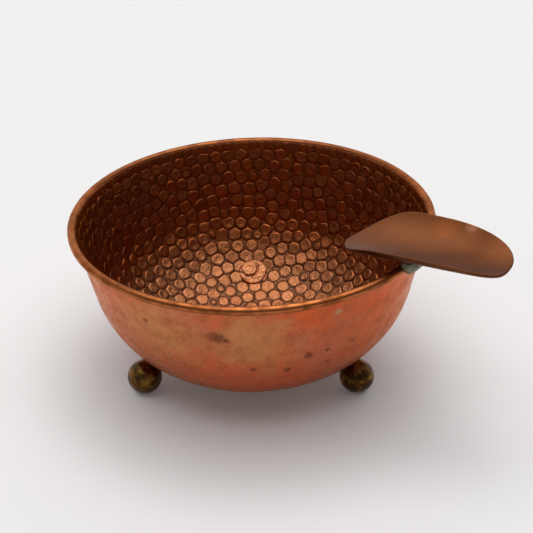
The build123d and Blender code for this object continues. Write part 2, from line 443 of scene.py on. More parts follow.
# %% How the bosses differ
usual_height = 0.33         # of a boss over the drawn inside of the copper
dished_share = 0.65         # of the bosses; the others are very slightly domed
boss_radius = np.full(cell_count, 0.0)
boss_radius[:boss_count] = rng.uniform(1.78, 2.30, boss_count)
boss_radius[:boss_count][is_small] = rng.uniform(0.8, 1.35, is_small.sum())
boss_height = np.full(cell_count, 0.16)
boss_height[:boss_count] = usual_height * rng.uniform(0.75, 1.15, boss_count)
boss_height[:boss_count][is_small] *= 0.8
dish = np.zeros(cell_count)
is_dished = rng.uniform(size=boss_count) < dished_share
dish[:boss_count] = np.where(is_dished, rng.uniform(0.12, 0.50, boss_count), -0.03)
tilt = rng.normal(0, 0.055, (cell_count, 2))
boss_tone = rng.uniform(size=cell_count)
is_band = np.arange(cell_count) >= boss_count


def foot_axis(number):
    """A ball's centre and radius from its box, and the direction from there into the bowl."""
    lowest, highest = (np.array(corner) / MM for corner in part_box(f"ball_foot_{number}"))
    radius = (highest[0] - lowest[0]) / 2
    centre = np.array([*((lowest + highest) / 2)[:2], highest[2] - radius])
    local = (centre - bowl_origin) @ bowl_axes.T
    out = np.hypot(local[0], local[1])
    way = unit(haunch_centre - np.array([out, local[2]]))
    inward = np.array([local[0] / out * way[0], local[1] / out * way[0], way[1]]) @ bowl_axes
    return centre, radius, inward


feet = [foot_axis(number) for number in (1, 2, 3)]
beaten_down, lower_on_wall = 0.45, 0.42
cell_places = from_map(sites[:cell_count], np.zeros(cell_count))
near_rivet = np.zeros(cell_count)
for centre, radius, inward in feet:
    arm = cell_places - centre
    off_axis = np.linalg.norm(arm - (arm @ inward)[:, None] * inward, axis=1)
    near_rivet = np.maximum(near_rivet, 1 - smooth_step(off_axis, 3.0, 6.5))
boss_height[:boss_count] *= (1 - beaten_down * near_rivet)[:boss_count]
up_the_wall = smooth_step(cell_places[:, 2], 14, 32)
boss_height[:boss_count] *= (1 - lower_on_wall * up_the_wall)[:boss_count]

# %% Heights along the spokes
spoke_scale = map_scale(sites[spoke_cell])
arm = border[spoke_point] - sites[spoke_cell]
reach = np.linalg.norm(arm, axis=1) / spoke_scale
softness, groove_half = 0.06, 0.12
foot_run = 0.11             # from the edge of a boss out to its foot
groove_floor = -0.08
wanted, allowed = boss_radius[spoke_cell], reach - groove_half
top_radius = -softness * np.log(np.exp(-wanted / softness) + np.exp(-allowed / softness))
top_radius = np.clip(top_radius, 0.15, None)
ring_parts = np.array([0.48, 0.80, 0.945])
ring_heights = np.array([1.0, 1.0, 0.80])
ring_dish = np.array([0.88, 0.0, 0.0])
ring_reach = np.concatenate([top_radius[:, None] * ring_parts, top_radius[:, None] + foot_run], axis=1)
ring_reach = np.minimum(ring_reach, reach[:, None] * 0.96)
band_spoke = is_band[spoke_cell]
ring_reach[band_spoke] = reach[band_spoke, None] * np.array([0.3, 0.55, 0.8, 0.93])
ring_fraction = ring_reach / reach[:, None]

height = boss_height[spoke_cell, None] * (ring_heights - dish[spoke_cell, None] * ring_dish)
lean_of_top = (arm * tilt[spoke_cell]).sum(axis=1) / spoke_scale
height = height + lean_of_top[:, None] * ring_fraction[:, :3] * ring_heights
height = np.concatenate([height, np.zeros((len(height), 1))], axis=1) + groove_floor
rim_side = border_at_rim[spoke_point] & band_spoke
to_rim, to_cobbles = np.array([0.11, 0.10, 0.07, 0.03]), np.array([0.10, 0.08, 0.0, -0.06])
height = np.where(band_spoke[:, None], np.where(rim_side[:, None], to_rim, to_cobbles), height)
ring_places = sites[spoke_cell][:, None, :] + arm[:, None, :] * ring_fraction[..., None]
centre_height = np.where(is_band, 0.11, boss_height * (1 - dish) + groove_floor)
border_height = np.where(border_at_rim, 0.0, groove_floor)

# %% Points and faces of the inside
rings = ring_places.shape[1]
inside_map = np.concatenate([sites[:cell_count], ring_places.reshape(-1, 2), border])
inside_height = np.concatenate([centre_height, height.ravel(), border_height])
inside_points = from_map(inside_map, inside_height)
dents = 0.05 * ripple(inside_points, 2.3, 5) * (inside_height > 0.02)
inside_points = inside_points + dents[:, None] * unit(bowl_origin - inside_points)
ring_first = cell_count
border_first = cell_count + len(keys) * rings
inside_faces = [np.stack([cell, ring_first + spoke_a * rings, ring_first + spoke_b * rings], axis=-1)]
for ring in range(rings - 1):
    a, b = ring_first + spoke_a * rings + ring, ring_first + spoke_b * rings + ring
    inside_faces.append(np.stack([a, a + 1, b + 1, b], axis=-1))
a, b = ring_first + spoke_a * rings + rings - 1, ring_first + spoke_b * rings + rings - 1
inside_faces.append(np.stack([a, border_first + point_a, border_first + point_b, b], axis=-1))
inside_cells = np.concatenate([cell] * (rings + 1))
print("inside:", len(inside_points), "points")

# %% [markdown]
# ## The rolled rim and the outside
#
# The wall runs up, turns over the wire and ends just under it, close to the wall again, which
# leaves a fine crease below the bead; the finish paints that crease dark as shade. Outside, the same
# blows show only as soft hollows, because the stake behind the copper was rounded and the outside
# was planished afterwards. One grid of rows carries the bead, the crease and the outside down to the
# middle of the base. Its first row is the rim of the cells, so the skin has no seam.

# %% Rows from the rim to the middle of the base
columns = 3 * band_count
border_bearing = np.arctan2(border[:, 1], border[:, 0]) % (2 * np.pi)
rim_points = np.flatnonzero(border_at_rim)
rim_points = rim_points[np.argsort(border_bearing[rim_points])]
column_bearing = border_bearing[rim_points]

bead_turn = np.radians(np.linspace(180 - flare_degrees, -120, 19)[1:])
bead_line = wire_centre + bead_radius * np.stack([np.cos(bead_turn), np.sin(bead_turn)], axis=-1)
crease_line = wire_centre + np.array([[-0.70, -0.72], [-0.83, -1.02]])
outside_lengths = np.linspace(section_length - 1.7, 0, 68)[:-1]
outside, outside_way = section(outside_lengths)
profile = np.concatenate([bead_line, crease_line, outside])
bead_way = np.stack([np.cos(bead_turn), np.sin(bead_turn)], axis=-1)
profile_way = np.concatenate([bead_way, np.zeros((2, 2)), outside_way])
outer_points = spun(profile[:, None, :] + np.zeros((1, columns, 1)), column_bearing[None, :])
outer_way = spun(profile_way[:, None, :] + np.zeros((1, columns, 1)), column_bearing[None, :])

# %% Soft marks on the outside
outside_rows = len(outside_lengths)
inner_run = np.interp(outside_lengths, outside_steps, run)
outer_map = np.interp(inner_run, run, map_steps)
outer_places = outer_map[:, None, None] * np.stack([np.cos(column_bearing), np.sin(column_bearing)], axis=-1)
flat_places = outer_places.reshape(-1, 2).astype(np.float32)
flat_blows = blows.astype(np.float32)
squared = (flat_places**2).sum(axis=1)[:, None] + (flat_blows**2).sum(axis=1)[None]
squared = squared - 2 * flat_places @ flat_blows.T
nearest = np.sqrt(np.clip(squared.min(axis=1), 0, None)) / map_scale(flat_places.astype(float))
mark_radius, mark_depth = 1.35, 0.085
hollow = np.exp(-((nearest / mark_radius) ** 2)).reshape(outside_rows, columns)
marks = -mark_depth * hollow
fade = smooth_step(section_length - outside_lengths, 3.0, 7.0)[:, None]
wall_points = outer_points[-outside_rows:].reshape(-1, 3)
swell = 0.11 * ripple(wall_points, 17, 11).reshape(hollow.shape)
worn = np.clip(0.5 + 0.6 * ripple(wall_points, 21, 14), 0, 1).reshape(hollow.shape)
shift = np.zeros(outer_points.shape[:2])
shift[-outside_rows:] = (marks + swell) * fade
bead_rows = len(bead_turn)
bead_points = outer_points[:bead_rows].reshape(-1, 3)
bead_wave = (ripple(bead_points, 9, 12) + 0.6 * ripple(bead_points, 3.2, 13)).reshape(bead_rows, columns)
bead_row = np.arange(bead_rows)
bead_fade = np.minimum(smooth_step(bead_row + 1, 0, 4), smooth_step(bead_rows - bead_row, 0, 3))
shift[:bead_rows] = 0.030 * bead_wave * bead_fade[:, None]
outer_points = bowl_to_frame(outer_points + outer_way * shift[..., None])
base_point = bowl_to_frame(np.array([[0, 0, -bowl_depth]]))

# %% The skin of the bowl as one closed surface
outer_first = len(inside_points)
rows = len(profile)
rim_ids = border_first + rim_points
first_row = outer_first + np.arange(columns)
join = np.stack([rim_ids, first_row, np.roll(first_row, -1), np.roll(rim_ids, -1)], axis=-1)
pole = outer_first + rows * columns
last_row = outer_first + (rows - 1) * columns + np.arange(columns)
skin_points = np.concatenate([inside_points, outer_points.reshape(-1, 3), base_point])
skin_faces = inside_faces + [join, grid_faces(rows, columns, outer_first), pole_faces(pole, last_row, False)]
bowl_skin = new_piece("bowl_skin", skin_points, skin_faces, ["bowl"])

# %% What the finish needs to know about each point
floor_width = np.clip(reach - top_radius - groove_half, 0, None)
spokes_at_point = np.maximum(np.bincount(spoke_point, minlength=len(border)), 1)
floor_width = np.bincount(spoke_point, floor_width, len(border)) / spokes_at_point
# A narrow groove, and the foot of every boss, get a relief near 0, which the inside copper paints near black
# as shade.
floor_relief = 0.5 * smooth_step(floor_width, 0.02, 0.35)
boss_relief, band_relief = np.array([1.0, 1.0, 0.85, 0.0]), np.array([1.0, 1.0, 0.9, 0.4])
ring_relief = np.where(band_spoke[:, None], band_relief, boss_relief)
border_relief = np.where(border_at_rim, 1.0, floor_relief)
relief = np.concatenate([np.ones(cell_count), ring_relief.ravel(), border_relief])
from_middle = np.concatenate([np.zeros(cell_count), ring_reach.ravel(), np.full(len(border), 3.0)])
outer_count = len(skin_points) - outer_first
crease_shade_and_hollow_dirt = np.zeros((rows, columns))
# Painted shade: these rows paint the crease under the bead near black; the soft hammer hollows lower down get
# dark dirt.
crease_shade_and_hollow_dirt[bead_rows : bead_rows + 2] = 1.0
crease_shade_and_hollow_dirt[bead_rows + 2] = 0.4
crease_shade_and_hollow_dirt[-outside_rows:] += 0.62 * hollow * worn * fade
values = {
    "relief": np.concatenate([relief, 1 - crease_shade_and_hollow_dirt.ravel(), [1.0]]),
    "from_middle": np.concatenate([from_middle, np.full(outer_count, 3.0)]),
    "bead": np.concatenate([np.zeros(outer_first), np.repeat(np.arange(rows) < bead_rows, columns), [0.0]]),
}
for name, value in values.items():
    carried = bowl_skin.data.attributes.new(name, "FLOAT", "POINT")
    carried.data.foreach_set("value", value.astype(np.float32))
face_tone = np.full(len(bowl_skin.data.polygons), 0.5)
face_tone[: len(inside_cells)] = boss_tone[inside_cells]
carried = bowl_skin.data.attributes.new("tone", "FLOAT", "FACE")
carried.data.foreach_set("value", face_tone.astype(np.float32))

# %% How far the skin stands from the drawn bowl
drawn_low, drawn_high = (np.array(corner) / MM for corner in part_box("bowl"))
skin_low, skin_high = skin_points.min(axis=0), skin_points.max(axis=0)
beyond = np.round(drawn_low - skin_low, 2), np.round(skin_high - drawn_high, 2)
print("skin beyond the drawn bowl:", *beyond)

# %% [markdown]
# ## The ball feet
#
# Each foot is a solid brass ball, with a small worn flat where it stands. A ball is a grid of
# circles between two poles; a slow ripple in its radius takes away the look of a bought
# bearing. A ring of hard solder fills the corner between the ball and the bowl: it is a
# profile with a hollow side, carried round the rivet, with an uneven edge.

# %% Balls and collars
collar_gap = 0.4            # from a ball to the copper


def ball(centre, radius, seed):
    """A sphere of rows and columns with a slow ripple, cut flat where it meets the table."""
    rows, columns = 47, 72
    fall = np.pi * np.arange(1, rows + 1) / (rows + 1)
    bearing = 2 * np.pi * np.arange(columns) / columns
    fall, bearing = np.meshgrid(fall, bearing, indexing="ij")
    way = np.stack([np.sin(fall) * np.cos(bearing), np.sin(fall) * np.sin(bearing), -np.cos(fall)], axis=-1)
    way = np.concatenate([[[0, 0, -1.0]], way.reshape(-1, 3), [[0, 0, 1.0]]])
    points = centre + way * (radius + 0.035 * ripple(way * radius, 6, seed))[:, None]
    points[:, 2] = np.maximum(points[:, 2], 0.0)
    return points, closed_piece_faces(rows, columns)


def axes_about(way, upwards):
    """Two directions square to `way`: one towards `upwards`, and one square to both."""
    up = unit(upwards - (upwards @ way) * way)
    return up, np.cross(up, way)


def collar(centre, inward, radius, seed):
    """A profile with a hollow side, from inside the ball to inside the copper, carried round
    the rivet's axis. Its radius wanders by a few tenths."""
    along = np.array([0.0, 0.15, 0.35, 0.55, 0.75, 0.9, 1.0])
    bottom_radius, waist, spread = 2.72, 0.42, 0.15
    into_ball, into_copper = 0.35, 0.28
    seat = radius + collar_gap
    out = bottom_radius - waist * np.sin(np.pi * along) + spread * along
    start = np.sqrt(radius**2 - 2.55**2) - into_ball
    top = seat + into_copper
    columns = 60
    bearing = 2 * np.pi * np.arange(columns) / columns
    up, side = axes_about(inward, np.array([0, 0, 1.0]))
    ring = np.cos(bearing)[:, None] * up + np.sin(bearing)[:, None] * side
    level = start + along * (top - start)
    wander = 1 + 0.035 * ripple(ring * 3, 3.0, seed)
    rows = centre + level[:, None, None] * inward + (out[:, None] * wander[None, :])[..., None] * ring
    points = np.concatenate([[centre + start * inward], rows.reshape(-1, 3), [centre + top * inward]])
    return points, closed_piece_faces(len(along), columns)


# %% Rivet heads
def rivet_head(centre, inward, radius, seed, turn):
    """A peened head, as a disc of rings: a low dome with a smaller disc struck off its middle, a
    trench beside that disc, a raised lip on one side and a few dents. The dome follows the
    curve of the haunch in part, and its underside goes into the copper."""
    seat = radius + collar_gap + sheet
    columns, head_radius = 108, 4.6
    disc_right, disc_away, disc_radius = -1.2, 1.3, 2.45
    trench_radius, trench_width, trench_depth = 2.86, 0.24, 0.34
    lip_radius, lip_width, lip_height = 3.9, 0.30, 0.36
    dome_base, dome_rise, edge_drop = 0.50, 0.08, 0.14
    part = np.concatenate([np.linspace(0.06, 0.92, 24), [0.955, 0.985, 1.0, 0.985, 0.93]])
    bearing = 2 * np.pi * np.arange(columns) / columns
    up, side = axes_about(inward, np.array([centre[0], centre[1], 0.0]))
    turned_up = np.cos(turn) * up + np.sin(turn) * side
    turned_side = np.cross(turned_up, inward)
    ring = np.stack([np.cos(bearing), np.sin(bearing), 0 * bearing], axis=-1)
    outline = head_radius * (1 + 0.075 * ripple(ring, 1.3, seed))
    right = part[:, None] * outline * np.sin(bearing)
    away = part[:, None] * outline * np.cos(bearing)
    top_rows = len(part) - 3

    disc = np.hypot(right - disc_right, away - disc_away)
    disc_bearing = np.arctan2(away - disc_away, right - disc_right)
    from_centre, rim_bearing = np.hypot(right, away), np.arctan2(away, right)
    rise = 0.20 * (1 - smooth_step(disc, disc_radius - 0.15, disc_radius + 0.15))
    rise = rise + 0.035 * np.cos(disc * 2 * np.pi / 1.05) * (1 - smooth_step(disc, 1.5, 2.2))
    cut_side = smooth_step(np.cos(disc_bearing + 0.45), -0.3, 0.4)
    trench = -trench_depth * cut_side * np.exp(-(((disc - trench_radius) / trench_width) ** 2))
    lip_side = smooth_step(np.cos(rim_bearing + 1.35), -0.2, 0.5)
    lip = lip_height * lip_side * np.exp(-(((from_centre - lip_radius) / lip_width) ** 2))
    flat = np.stack([right, away, 0 * right], axis=-1)
    dents = 0.17 * ripple(flat, 2.6, seed + 1) + 0.09 * ripple(flat, 1.0, seed + 2)
    edge_fall = smooth_step(part, 0.88, 1.0)[:, None]
    height = dome_base + dome_rise * (1 - part[:, None] ** 2) - edge_drop * edge_fall
    height = height + (rise + lip + trench + dents) * (1 - edge_fall)
    height[top_rows:] = np.array([0.42, 0.10, -0.22])[:, None]
    follow = np.where(np.arange(len(part)) < top_rows, 0.25, 0.6)[:, None]
    level = seat + height - follow * (right**2 + away**2) / (2 * haunch_radius)
    points = centre + level[..., None] * inward + right[..., None] * turned_side + away[..., None] * turned_up
    middle = centre + (seat + height[0].mean()) * inward
    under = centre + (seat - 0.25) * inward
    points = np.concatenate([[middle], points.reshape(-1, 3), [under]])
    return points, closed_piece_faces(len(part), columns)


head_turns = (0.3, 0.0, 2.4)
for number, (centre, radius, inward) in enumerate(feet, start=1):
    points, faces = ball(centre, radius, 30 + number)
    new_piece(f"brass_ball_{number}", points, faces, [f"ball_foot_{number}"])
    points, faces = collar(centre, inward, radius, 40 + number)
    new_piece(f"solder_collar_{number}", points, faces, [f"foot_collar_{number}"])
    points, faces = rivet_head(centre, inward, radius, 50 + 3 * number, head_turns[number - 1])
    new_piece(f"peened_head_{number}", points, faces, [f"foot_rivet_{number}"])

# %% [markdown]
# ## The cigar rest
#
# A leaf of copper with a pointed inner end and a broad blunt outer one, bent to a shallow gutter
# and laid across the rim. Its outline is one closed curve. Copies of the outline that shrink
# towards its middle cover the top, the same curve rounds the edge, and shrinking copies cover
# the underside, so the whole leaf is one closed grid. The bend comes last.

# %% The outline of the rest
rest_length, rest_inside, rest_width, rest_belly = 49.7, 21.4, 26.5, 17.1
end_fullness, rest_sheet, bend_radius = 2.9, 0.9, 19.6
rest_slope = np.radians(5.0)
rest_forward = np.array([np.cos(rest_slope), 0, np.sin(rest_slope)])
rest_upward = np.array([-np.sin(rest_slope), 0, np.cos(rest_slope)])
rest_axes = np.array([rest_forward, [0, 1, 0], rest_upward])
rest_gap = 0.05             # from the bead of the rim to the rest
rest_seat = bowl_to_frame(np.array([rim_radius, 0, 0])) + rest_axes[2] * (bead_radius + rest_gap)

half_width = rest_width / 2
tip_radius = (rest_belly**2 + half_width**2) / (2 * half_width)
tip_turn = np.arcsin(rest_belly / tip_radius)
tip_angle = np.linspace(tip_turn, 0, 500)
tip_x = rest_belly - tip_radius * np.sin(tip_angle)
tip_y = half_width - tip_radius * (1 - np.cos(tip_angle))
end_angle = np.linspace(np.pi / 2, 0, 900)[1:]
end_x = rest_belly + (rest_length - rest_belly) * np.cos(end_angle) ** (2 / end_fullness)
end_y = half_width * np.sin(end_angle) ** (2 / end_fullness)
half_x, half_y = np.concatenate([tip_x, end_x]), np.concatenate([tip_y, end_y])
whole_x, whole_y = np.concatenate([half_x, half_x[-2:0:-1]]), np.concatenate([half_y, -half_y[-2:0:-1]])
whole_x, whole_y = np.append(whole_x, whole_x[0]), np.append(whole_y, whole_y[0])
round_run = np.concatenate([[0], np.cumsum(np.hypot(np.diff(whole_x), np.diff(whole_y)))])
rest_columns = 240
stations = np.arange(rest_columns) / rest_columns * round_run[-1]
outline = np.stack([np.interp(stations, round_run, side) for side in (whole_x, whole_y)], axis=-1)
print("outline of the rest:", round(round_run[-1], 1), "mm round")

# %% The leaf
edge_turn = np.radians(np.linspace(90, -90, 9))
edge_inset = 0.34 * (1 - np.cos(edge_turn))
edge_level = rest_sheet / 2 * np.sin(edge_turn)
leaf_rows = np.linspace(0.04, 0.975, 26)
middle = np.array([24.0, 0.0])
arm = outline - middle
arm_length = np.linalg.norm(arm, axis=1)
edge_part = 1 - edge_inset[:, None] / arm_length[None, :]
part = np.concatenate([
    np.repeat(leaf_rows[:, None], rest_columns, axis=1) * edge_part[0],
    edge_part,
    np.repeat(leaf_rows[::-1, None], rest_columns, axis=1) * edge_part[-1],
])
level = np.concatenate([np.full(26, rest_sheet / 2), edge_level, np.full(26, -rest_sheet / 2)])
flat = middle + arm[None] * part[..., None]
flat = np.concatenate([[middle], flat.reshape(-1, 2), [middle]])
level = np.concatenate([[rest_sheet / 2], np.repeat(level, rest_columns), [-rest_sheet / 2]])
level = level * (0.55 + 0.45 * smooth_step(flat[:, 0], 0, 9))
spread = np.stack([flat[:, 0], flat[:, 1], 0 * level], axis=-1)
planish = 0.035 * ripple(spread, 5.5, 71) + 0.10 * ripple(spread, 19, 72)
middle_radius = bend_radius - rest_sheet / 2
bend_angle = np.arcsin(np.clip(flat[:, 1] / (middle_radius - level), -1, 1))
bent_radius = middle_radius - level - planish
local = np.stack([
    flat[:, 0] - rest_inside,
    bent_radius * np.sin(bend_angle),
    bend_radius - bent_radius * np.cos(bend_angle),
], axis=-1)
rest_points = rest_seat + local @ rest_axes
new_piece("rest_leaf", rest_points, closed_piece_faces(61, rest_columns), ["cigar_rest"])
drawn_low, drawn_high = (np.array(corner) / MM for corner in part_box("cigar_rest"))
beyond = np.round(drawn_low - rest_points.min(0), 2), np.round(rest_points.max(0) - drawn_high, 2)
print("rest beyond the drawn one:", *beyond)

# %% [markdown]
# ## The solder under the rest
#
# Soft solder was run in under the rest until it made a lump along the rim. It is a rounded bar
# with an uneven skin. Where it meets the rest, its top follows the gutter and stays inside the
# thickness of the leaf, so nothing shows above.

# %% The lump of solder
def solder_lump(length, radius, outward, sink):
    """A bar with round ends: circles along the rim whose radius falls to nothing at the ends as
    a ball's does, rippled, and held under the gutter of the rest."""
    rows, columns = 61, 48
    part = np.linspace(-1, 1, rows + 2)[1:-1]
    straight = length / 2 - radius
    bearing = 2 * np.pi * np.arange(columns) / columns
    sweep = np.sin(part * np.pi / 2)
    along = sweep * (length / 2)
    over = np.clip(np.abs(along) - straight, 0, radius)
    size = np.sqrt(np.clip(radius**2 - over**2, 0.01, None))
    points = np.stack([
        size[:, None] * np.sin(bearing),
        np.repeat(along[:, None], columns, axis=1),
        -0.86 * size[:, None] * np.cos(bearing),
    ], axis=-1).reshape(-1, 3)
    points = np.concatenate([[[0, -length / 2, 0]], points, [[0, length / 2, 0]]])
    away = points * np.array([1, 0, 1])
    points = points + np.array([outward, 0, -sink])
    uneven = 0.26 * ripple(points, 4.0, 81) + 0.12 * ripple(points, 1.8, 82)
    points = points + away / radius * uneven[:, None]
    gutter = bend_radius - np.sqrt(bend_radius**2 - points[:, 1] ** 2)
    points[:, 2] = np.minimum(points[:, 2], gutter + 0.35)
    return rest_seat + points @ rest_axes, closed_piece_faces(rows, columns)


points, faces = solder_lump(length=16.6, radius=2.75, outward=1.3, sink=0.3)
new_piece("solder_lump", points, faces, ["rest_solder"])

# %% [markdown]
# ## Shader helpers
#
# A finish is built from small effects: cloudy tarnish, soft spots, fine specks, scratches. Each
# is a node group with named inputs, made once and used in several metals with other numbers.
# A few helpers keep the node code short: one adds a node and fills or links its inputs, others
# blend two colours or start a group. Patterns read Object coordinates in millimetres.

# %% Nodes and groups
def add_node(tree, kind, values=None, **settings):
    """Adds a shader node. `values` gives each input a number, a colour or another node's output."""
    node = tree.nodes.new("ShaderNode" + kind)
    for name, setting in settings.items():
        setattr(node, name, setting)
    for socket, value in (values or {}).items():
        if isinstance(value, bpy.types.NodeSocket):
            tree.links.new(value, node.inputs[socket])
        else:
            node.inputs[socket].default_value = value
    return node


def maths(tree, operation, *numbers):
    """One sum on numbers or outputs."""
    return add_node(tree, "Math", dict(enumerate(numbers)), operation=operation).outputs[0]


def blend(tree, mask, first, second):
    """The first colour where the mask is 0 and the second where it is 1. Sockets 6, 7 and 2 are
    the Mix node's colours."""
    return add_node(tree, "Mix", {0: mask, 6: first, 7: second}, data_type="RGBA").outputs[2]


def blend_part(tree, mask, share, first, second):
    """As blend, but the second colour covers only that share of the first where the mask is 1."""
    return blend(tree, maths(tree, "MULTIPLY", mask, share), first, second)


def between(tree, value, start, end, low=0.0, high=1.0):
    """An S-curve from low to high as the value goes from start to end."""
    values = {0: value, 1: start, 2: end, 3: low, 4: high}
    return add_node(tree, "MapRange", values, interpolation_type="SMOOTHSTEP").outputs[0]


def start_group(name, inputs, outputs):
    """A node group with those inputs, as (name, kind, first value), and float outputs."""
    group = bpy.data.node_groups.new(name, "ShaderNodeTree")
    for label, kind, value in inputs:
        socket = group.interface.new_socket(label, in_out="INPUT", socket_type=kind)
        socket.default_value = value
    for label in outputs:
        group.interface.new_socket(label, in_out="OUTPUT", socket_type="NodeSocketFloat")
    return group, group.nodes.new("NodeGroupInput").outputs, group.nodes.new("NodeGroupOutput").inputs


def millimetres(tree):
    """Object coordinates in millimetres."""
    place = add_node(tree, "TexCoord").outputs["Object"]
    return add_node(tree, "VectorMath", {0: place, "Scale": 1000.0}, operation="SCALE").outputs[0]


FLOAT, VECTOR = "NodeSocketFloat", "NodeSocketVector"

# %% [markdown]
# ## Effects that the metals share
#
# Cloudy tarnish is noise pushed through an S-curve, so it has clear and stained areas with soft
# borders. A soft spot is a ball of a given size round a given place, with a ragged border: it
# makes single stains and larger zones of colour. Specks are a few small cells of a Voronoi
# pattern. Wipe marks are noise drawn out along one direction, as a cloth leaves them.

# %% Cloudy tarnish
cloud, given, result = start_group(
    "cloudy_tarnish",
    [
        ("Size", FLOAT, 10.0), ("Detail", FLOAT, 4.0), ("Low", FLOAT, 0.4), ("High", FLOAT, 0.6),
        ("Shift", VECTOR, (0, 0, 0)),
    ],
    ["Mask", "Grain"],
)
moved = add_node(cloud, "VectorMath", {0: millimetres(cloud), 1: given["Shift"]}, operation="ADD")
noise = add_node(cloud, "TexNoise", {
    "Vector": moved.outputs[0],
    "Scale": maths(cloud, "DIVIDE", 1.0, given["Size"]),
    "Detail": given["Detail"],
    "Roughness": 0.6,
})
cloud.links.new(between(cloud, noise.outputs[0], given["Low"], given["High"]), result["Mask"])
cloud.links.new(noise.outputs[0], result["Grain"])

# %% Soft spots
spot, given, result = start_group(
    "soft_spot",
    [("Centre", VECTOR, (0, 0, 0)), ("Radius", FLOAT, 5.0), ("Border", FLOAT, 0.4), ("Ragged", FLOAT, 0.3)],
    ["Mask"],
)
place = millimetres(spot)
away = add_node(spot, "VectorMath", {0: place, 1: given["Centre"]}, operation="DISTANCE").outputs["Value"]
scale = maths(spot, "DIVIDE", 1.1, given["Radius"])
noise = add_node(spot, "TexNoise", {"Vector": place, "Scale": scale, "Detail": 4.0, "Roughness": 0.6})
ragged = maths(spot, "MULTIPLY", maths(spot, "SUBTRACT", noise.outputs[0], 0.5), given["Ragged"])
part = maths(spot, "ADD", maths(spot, "DIVIDE", away, given["Radius"]), maths(spot, "MULTIPLY", ragged, 4.0))
inner, outer = maths(spot, "SUBTRACT", 1.0, given["Border"]), maths(spot, "ADD", 1.0, given["Border"])
spot.links.new(maths(spot, "SUBTRACT", 1.0, between(spot, part, inner, outer)), result["Mask"])

# %% Specks
speck, given, result = start_group(
    "specks", [("Spacing", FLOAT, 4.0), ("Radius", FLOAT, 0.12), ("Share", FLOAT, 0.3)], ["Mask"]
)
scale = maths(speck, "DIVIDE", 1.0, given["Spacing"])
cells = add_node(speck, "TexVoronoi", {"Vector": millimetres(speck), "Scale": scale})
chance = add_node(speck, "SeparateColor", {0: cells.outputs["Color"]}).outputs[0]
chosen = maths(speck, "LESS_THAN", chance, given["Share"])
size = maths(speck, "MULTIPLY", given["Radius"], maths(speck, "ADD", 0.5, chance))
dot = between(speck, cells.outputs["Distance"], size, maths(speck, "MULTIPLY", size, 1.7), 1.0, 0.0)
speck.links.new(maths(speck, "MULTIPLY", dot, chosen), result["Mask"])

# %% Wipe marks
wipe, given, result = start_group(
    "wipe_marks",
    [("Turn", VECTOR, (0, 0, 0)), ("Width", FLOAT, 0.3), ("Stretch", FLOAT, 12.0)],
    ["Grain"],
)
turn = {"Vector": millimetres(wipe), "Rotation": given["Turn"]}
turned = add_node(wipe, "VectorRotate", turn, rotation_type="EULER_XYZ")
across = maths(wipe, "DIVIDE", 1.0, given["Width"])
lengthways = maths(wipe, "DIVIDE", across, given["Stretch"])
squeeze = add_node(wipe, "CombineXYZ", {0: lengthways, 1: across, 2: across}).outputs[0]
drawn = add_node(wipe, "VectorMath", {0: turned.outputs[0], 1: squeeze}, operation="MULTIPLY").outputs[0]
noise = add_node(wipe, "TexNoise", {"Vector": drawn, "Scale": 1.0, "Detail": 3.0, "Roughness": 0.6})
wipe.links.new(noise.outputs[0], result["Grain"])


def effect(tree, group, **values):
    """Places one of the groups above in a material and gives its inputs their numbers."""
    node = tree.nodes.new("ShaderNodeGroup")
    node.node_tree = group
    for label, value in values.items():
        node.inputs[label].default_value = value
    return node.outputs


def start_metal(name):
    """A material with a Principled BSDF, and its node tree."""
    material = bpy.data.materials.new(name)
    material.use_nodes = True
    tree = material.node_tree
    return material, tree, tree.nodes["Principled BSDF"]


def finish_metal(tree, shader, colour, roughness, metallic, height=None, depth=0.02):
    """Links colour, roughness and metallic, and a height in millimetres through a bump."""
    for socket, value in (("Base Color", colour), ("Roughness", roughness), ("Metallic", metallic)):
        if isinstance(value, bpy.types.NodeSocket):
            tree.links.new(value, shader.inputs[socket])
        else:
            shader.inputs[socket].default_value = value
    if height is not None:
        bump = add_node(tree, "Bump", {"Height": height, "Distance": depth * MM, "Strength": 1.0})
        tree.links.new(bump.outputs[0], shader.inputs["Normal"])


def tint(red, green, blue):
    """A linear colour with full cover."""
    return (red, green, blue, 1.0)


def with_spots(tree, colour, spots, border, ragged):
    """The colour with soft spots laid over it, each as (place, radius, its colour, cover)."""
    for middle, radius, spot_colour, cover in spots:
        mark = effect(tree, spot, Centre=middle, Radius=radius, Border=border, Ragged=ragged)["Mask"]
        colour = blend_part(tree, mark, cover, colour, spot_colour)
    return colour


def clouded_metal(name, dark, light, **cloudiness):
    """A metal with cloudy tarnish between two colours: material, tree, shader, cloud, colour."""
    material, tree, shader = start_metal(name)
    film = effect(tree, cloud, **cloudiness)
    return material, tree, shader, film, blend(tree, film["Mask"], dark, light)


# %% [markdown]
# ## The bowl's copper
#
# Outside, the copper has been handled and wiped: it is bright red-orange where it was rubbed, and
# golden brown where a thin film of tarnish was left, with a few dark stains. The crease under the
# bead and the far side of the bead are painted darker as shade. Inside, the tops of the bosses are
# worn and pale, the floors of the grooves round them are a darker brown, and the foot of each boss
# and the narrow grooves are painted near black as shade. High on the wall the copper is a deeper
# red brown. Relief, read from the mesh, tells top from groove.

# %% Places and values on the bowl
def attribute(tree, name):
    """A value that the mesh carries for each point or face."""
    return add_node(tree, "Attribute", attribute_name=name).outputs["Fac"]


def on_bowl(bearing, height):
    """A place on the outside of the bowl, `height` mm over its base and at a bearing in degrees:
    the section's radius at that height, turned round the axis."""
    radius = np.interp(height - bowl_depth, outside[::-1, 1], outside[::-1, 0])
    return tuple(bowl_to_frame(spun(np.array([radius, height - bowl_depth]), np.radians(bearing))))


